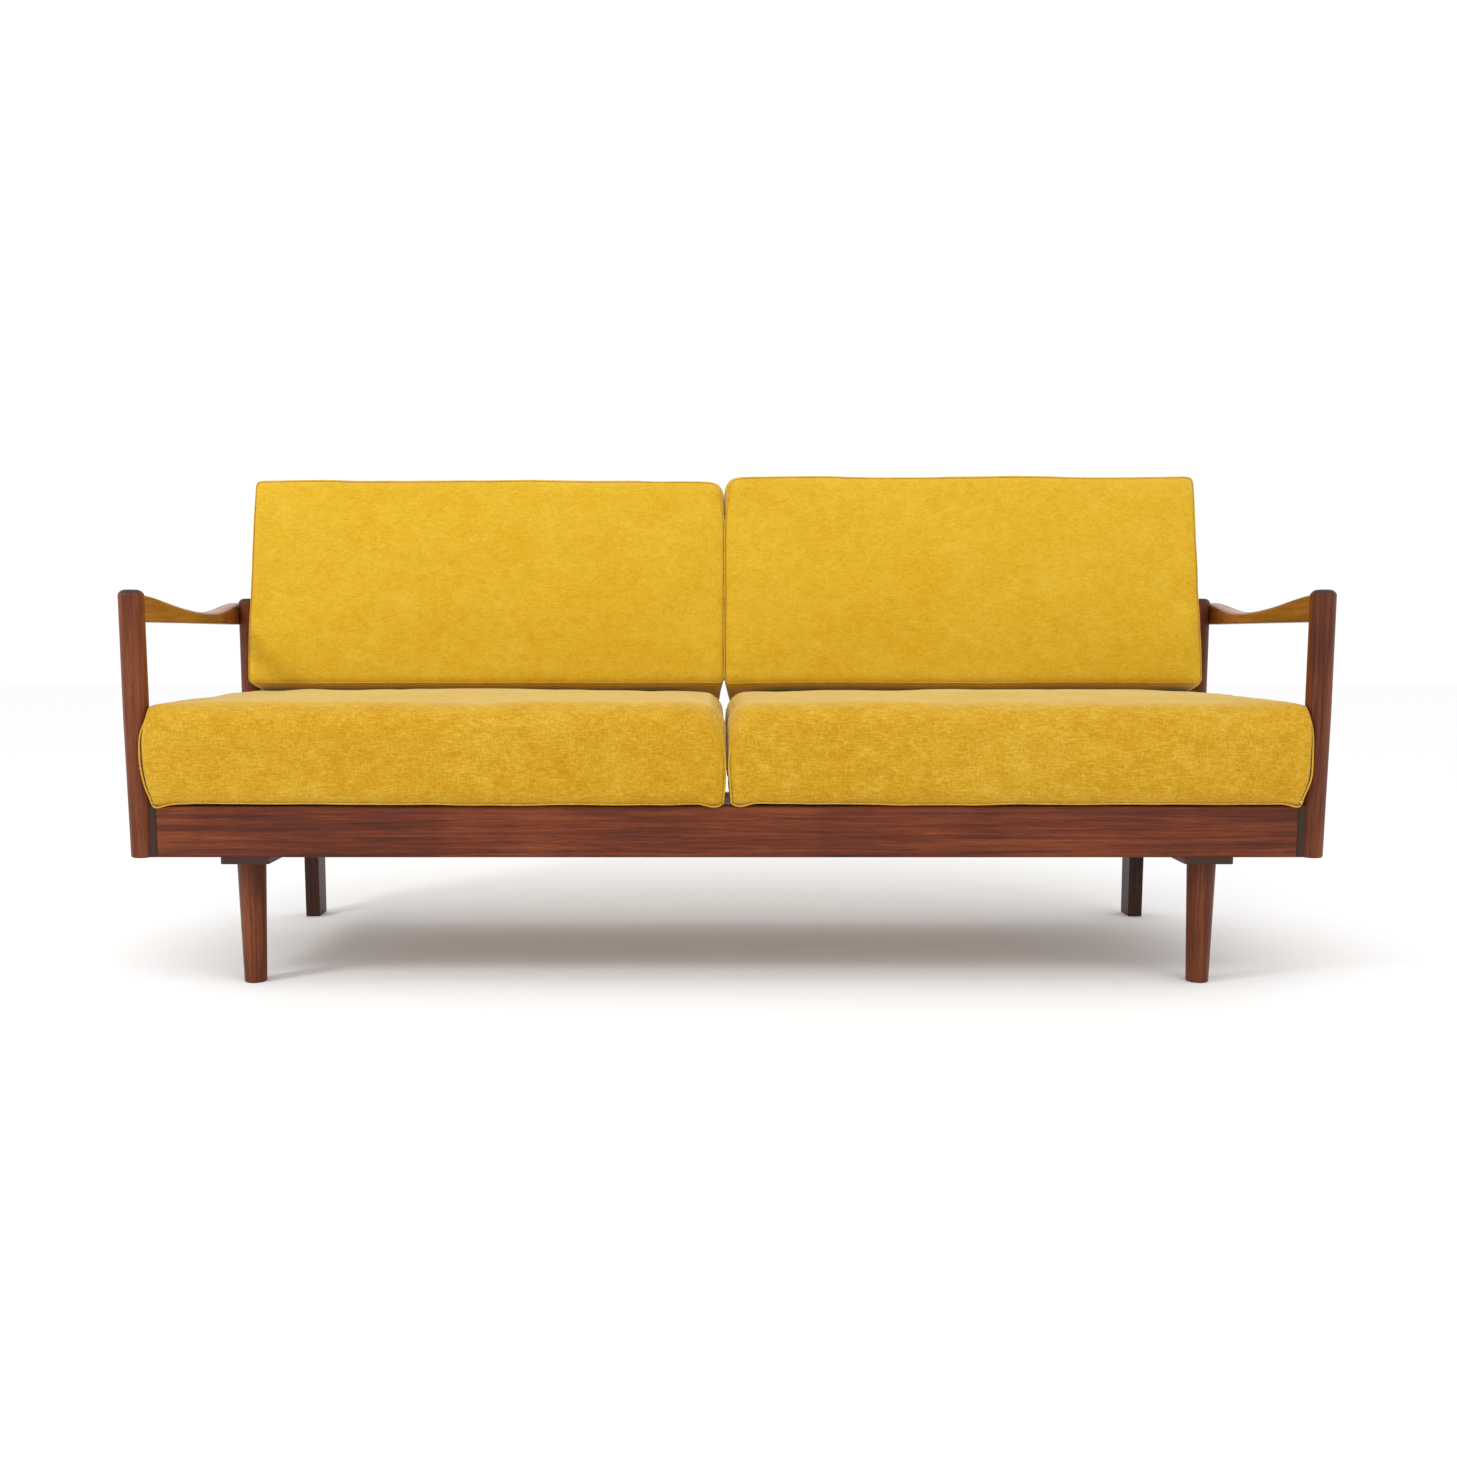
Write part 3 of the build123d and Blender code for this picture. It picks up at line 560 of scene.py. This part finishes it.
class Back(Cushion):
    """A box cushion that leans back on the rails and stands on the seat."""

    axes = (
        Vector((1, 0, 0)),
        Vector((0, math.cos(LEAN), -math.sin(LEAN))),
        Vector((0, math.sin(LEAN), math.cos(LEAN))),
    )

    def __init__(self, side, extra_height, arm_tuck):
        super().__init__("back", side, "back")
        self.seat_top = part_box(f"seat_cushion_{side}")[1].z
        joint = next(j for j in frame["joints"] if j["name"] == f"{self.node}_recline")
        self.foot = Vector((0, joint["pos_m"][1], joint["pos_m"][2]))
        rise = self.high.z - self.foot.z - BACK_THICKNESS * math.sin(LEAN)
        self.tall = rise / math.cos(LEAN) + TOE_DROP + extra_height
        self.size = Vector((self.outer - self.inner, BACK_THICKNESS - 0.010, self.tall))
        self.arm_tuck = arm_tuck

    def radius(self, p):
        """Edge radius: fuller in the upper part and at the inner end."""
        inner_end = smooth_step(0.5 + self.sign * p.x / self.size.x, 0.06, 0.0)
        return 0.012 + smooth_step(p.z, 0.1, 0.2) * (0.004 + 0.012 * inner_end)

    def lean(self, p):
        """Where a point of the upright box goes when the cushion leans on its rails."""
        across, through, up = self.axes
        height = p.z / self.size.z + 0.5
        front = 0.5 - p.y / self.size.y
        share = 0.5 + self.sign * p.x / self.size.x
        reach = self.inner - 0.001 + share * (self.outer - self.inner + 0.019)
        climb = height * self.tall - TOE_DROP * front
        heel = (1 - front) * smooth_step(height, 0.2, 0.0)
        near_middle = smooth_step(share, 0.06, 0.0)
        near_arm = smooth_step(share, 0.94, 1.0)
        climb -= (0.020 + 0.026 * near_middle + 0.006 * near_arm) * heel
        reach += heel * (0.009 * near_middle - self.arm_tuck * near_arm)
        return self.foot + across * self.sign * reach + up * climb - through * (front * self.size.y)

    def rest(self, p):
        """Keep a point off the rails behind, the seat below and the post beside."""
        through = self.axes[1]
        behind = (p - self.foot).dot(through) - 0.0015
        if behind > 0:
            p -= through * behind
        share = self.share(p)
        p.z = max(p.z, self.least_height(share))
        reach = max(self.sign * p.x - self.bulge(p, share), 0.0002)
        p.x = self.sign * min(reach, self.room(p))

    def least_height(self, share):
        """Just into the seat's top, and lower at both ends, most of all the inner one."""
        sunk = self.seat_top - 0.0045 - 0.026 * smooth_step(share, 0.06, 0.01)
        return sunk - 0.005 * smooth_step(share, 0.94, 0.99)

    def bulge(self, p, share):
        """How far the inner end bulges towards the other cushion between its corners."""
        between = smooth_step(p.z, self.high.z - 0.01, self.high.z - 0.09)
        between *= smooth_step(p.z, self.low.z + 0.005, self.low.z + 0.02)
        return between * (0.005 * smooth_step(share, 0.04, 0.0))

    def room(self, p):
        """Distance from the sofa's middle to the post, or a little more in front of it."""
        beside_post = smooth_step(p.y, self.post_front - 0.012, self.post_front - 0.002)
        return self.post_inner - 0.001 + 0.0035 * (1 - beside_post)


def seat_cushion(side, seed, spill):
    """A seat cushion with seams round both ends and round its underside."""
    seat = Seat(side, spill)
    middle = (seat.low + seat.high) / 2
    start_size = seat.size - Vector((0.002, 0.010, 0.001))
    points, faces, keys, counts = box_grid(start_size, seat.radius)
    cover = new_cover(f"seat_cover_{side}", [p + middle for p in points], faces, yellow)
    seat.crown(cover, settle(swell(cover), keys, counts, seat.axes, (0.006, 0.012, 0.013)))
    loops = [seam_loop(keys, counts, ALONG_X, level) for level in (0, counts[ALONG_X])]
    loops.append(seam_loop(keys, counts, ALONG_Z, 0))
    seat.drape(cover, seed, 0.17, loops, 0.0012)
    welts = seam_welts(f"seat_welt_{side}", cover, loops, 0.0014, 0.0)
    upholster(seat.node, "pull_out", cover, welts)


def back_cushion(side, seed, extra_height, arm_tuck):
    """A back cushion with seams round its front and back panels."""
    back = Back(side, extra_height, arm_tuck)
    points, faces, keys, counts = box_grid(back.size, back.radius)
    cover = new_cover(f"back_cover_{side}", [back.lean(p) for p in points], faces, sheen_painted_yellow)
    moves = settle(swell(cover), keys, counts, back.axes, (0.005, 0.013, 0.008))
    for vertex, move in zip(cover.data.vertices, moves):
        vertex.co += move
    loops = [seam_loop(keys, counts, ALONG_Y, level) for level in (0, counts[ALONG_Y])]
    back.drape(cover, seed, 0.22, loops, 0.0016)
    welts = seam_welts(f"back_welt_{side}", cover, loops, 0.0011, 0.0003)
    upholster(back.node, f"{back.node}_body", cover, welts)


seat_cushion("left", 2, 0.0090)
seat_cushion("right", 4, 0.0060)
back_cushion("left", 8, 0.007, 0.022)
back_cushion("right", 10, 0.015, 0.004)


# ---------------------------------------------------------------- studio

def floor():
    """A wide white floor."""
    reach = 14.0
    corners = [(-reach, -reach, 0), (reach, -reach, 0), (reach, reach, 0), (-reach, reach, 0)]
    mesh = bpy.data.meshes.new("floor")
    mesh.from_pydata(corners, [], [(0, 1, 2, 3)])
    plane = bpy.data.objects.new("floor", mesh)
    bpy.context.scene.collection.objects.link(plane)
    m = Nodes("floor_white")
    m.shader.inputs["Base Color"].default_value = (0.93, 0.93, 0.93, 1.0)
    m.shader.inputs["Roughness"].default_value = 0.9
    m.shader.inputs["Specular IOR Level"].default_value = 0.1
    mesh.materials.append(m.material)


def lamp(name, place, target, size, power):
    """A white disk light that faces a target."""
    light = bpy.data.lights.new(name, "AREA")
    light.shape = "DISK"
    light.size = size
    light.energy = power
    obj = bpy.data.objects.new(name, light)
    obj.location = place
    towards = Vector(target) - Vector(place)
    obj.rotation_euler = towards.to_track_quat("-Z", "Y").to_euler()
    bpy.context.scene.collection.objects.link(obj)


def studio():
    """Floor, white surroundings and three soft lights."""
    floor()
    world = bpy.data.worlds.new("studio")
    world.use_nodes = True
    background = world.node_tree.nodes["Background"]
    background.inputs["Color"].default_value = (1.0, 1.0, 1.0, 1.0)
    background.inputs["Strength"].default_value = 1.05
    bpy.context.scene.world = world
    heart = (0.0, 0.0, 0.45)
    lamp("key", (-2.6, -1.9, 2.2), heart, 0.7, 34.0)
    lamp("fill", (2.4, -3.0, 2.2), heart, 2.6, 20.0)
    lamp("top", (0.3, -1.4, 3.0), heart, 2.8, 18.0)
    bpy.context.scene.view_settings.view_transform = "Standard"


def camera():
    """In front of the sofa, higher than its seat but lower than its arms, tilted down."""
    post_low, post_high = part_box("front_post_left")
    front = (post_low.y + post_high.y) / 2
    data = bpy.data.cameras.new("camera")
    data.lens = 35.25
    data.shift_x = 0.0108
    data.shift_y = 0.0445
    obj = bpy.data.objects.new("camera", data)
    obj.location = (-0.0225, front - 2.247, 0.5664)
    obj.rotation_euler = (math.pi / 2 - 0.1111, 0.0, 0.0)
    bpy.context.scene.collection.objects.link(obj)
    bpy.context.scene.camera = obj


studio()
camera()
